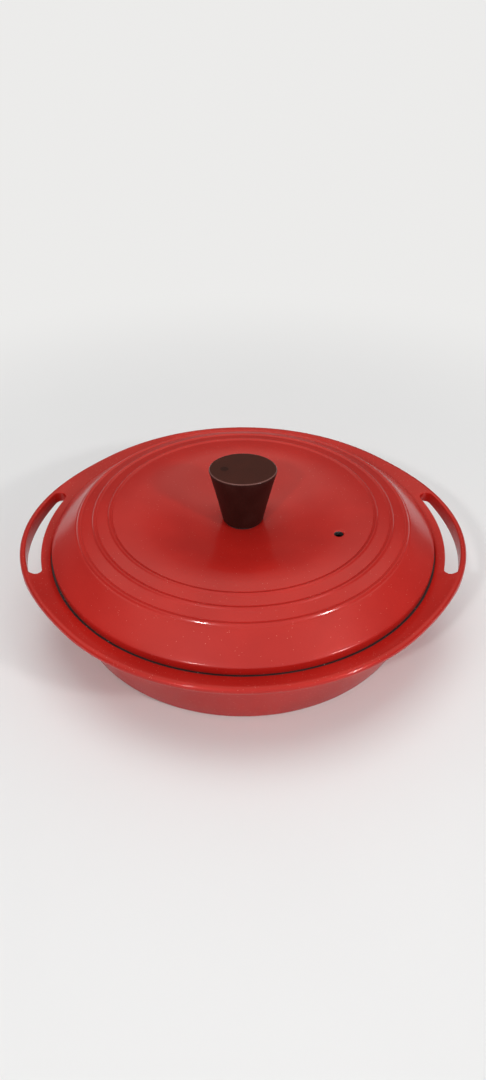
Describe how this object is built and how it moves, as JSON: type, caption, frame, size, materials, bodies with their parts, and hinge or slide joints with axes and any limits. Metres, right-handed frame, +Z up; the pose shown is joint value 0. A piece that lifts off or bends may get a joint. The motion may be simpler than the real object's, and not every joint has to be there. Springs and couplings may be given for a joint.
{
  "type": "low casserole with lid",
  "caption": "Low round cast casserole with slotted side handles and a dished lid that lifts off by its central knob.",
  "frame": {"origin": "centre of the base on the surface that the pot stands on", "axes": "+Z up along the axis of the pot and lid; the two side handles lie along X; the steam vent is on the +X, -Y side"},
  "size_m": [0.289, 0.276, 0.0991],
  "materials": {
    "red_coat": "cast aluminium under a red ceramic coat with fine flakes, charcoal non-stick coat inside",
    "red_gloss": "cast aluminium under a smooth glossy red coat, charcoal non-stick coat below",
    "silicone": "matte black",
    "dark_phenolic": "dark brown-black moulded phenolic, satin",
    "brass": "turned",
    "stainless": "turned and tumbled"
  },
  "bodies": {
    "pot": {"pot_floor": "red_coat", "pot_wall": "red_coat", "pot_lip": "red_coat", "handle_right": "red_coat", "handle_left": "red_coat"},
    "lid": {"lid_shell": "red_gloss", "knob_gasket": "silicone", "knob": "dark_phenolic", "knob_insert": "brass", "screw_washer": "stainless", "knob_screw": "stainless"}
  },
  "joints": [
    {"name": "lid_lift", "type": "slide", "parent": "pot", "child": "lid", "axis": [0, 0, 1], "range_m": [0, 0.16]}
  ]
}
